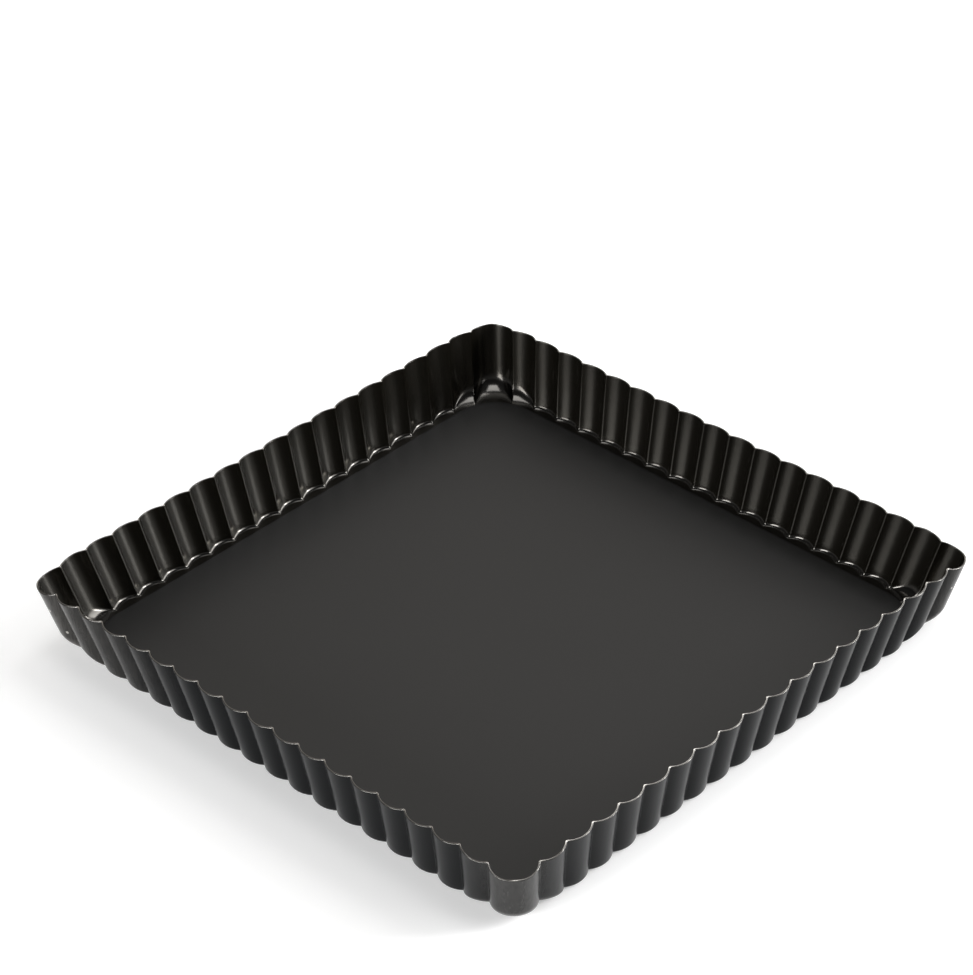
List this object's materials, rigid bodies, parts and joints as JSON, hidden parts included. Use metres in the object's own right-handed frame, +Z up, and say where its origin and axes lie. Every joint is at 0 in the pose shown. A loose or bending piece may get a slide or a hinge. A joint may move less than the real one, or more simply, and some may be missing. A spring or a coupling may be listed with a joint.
{
  "type": "fluted tart pan",
  "caption": "Square fluted tart pan with a pressed sheet shell, a round push-out hole in its floor and a loose flat base plate that lifts straight out.",
  "frame": {"origin": "centre of the pan's underside, on the surface it stands on", "axes": "+Z up through the mouth of the pan, square to the base; X and Y square to the fluted sides"},
  "size_m": [0.2276, 0.2276, 0.026],
  "materials": {
    "shell_coating": "satin dark non-stick coating on pressed steel",
    "base_coating": "satin dark non-stick coating on flat steel"
  },
  "bodies": {
    "shell": {"fluted_shell": "shell_coating"},
    "base": {"loose_base": "base_coating"}
  },
  "joints": [
    {"name": "base_lift", "type": "slide", "parent": "shell", "child": "base", "axis": [0, 0, 1], "range_m": [0, 0.15]}
  ]
}
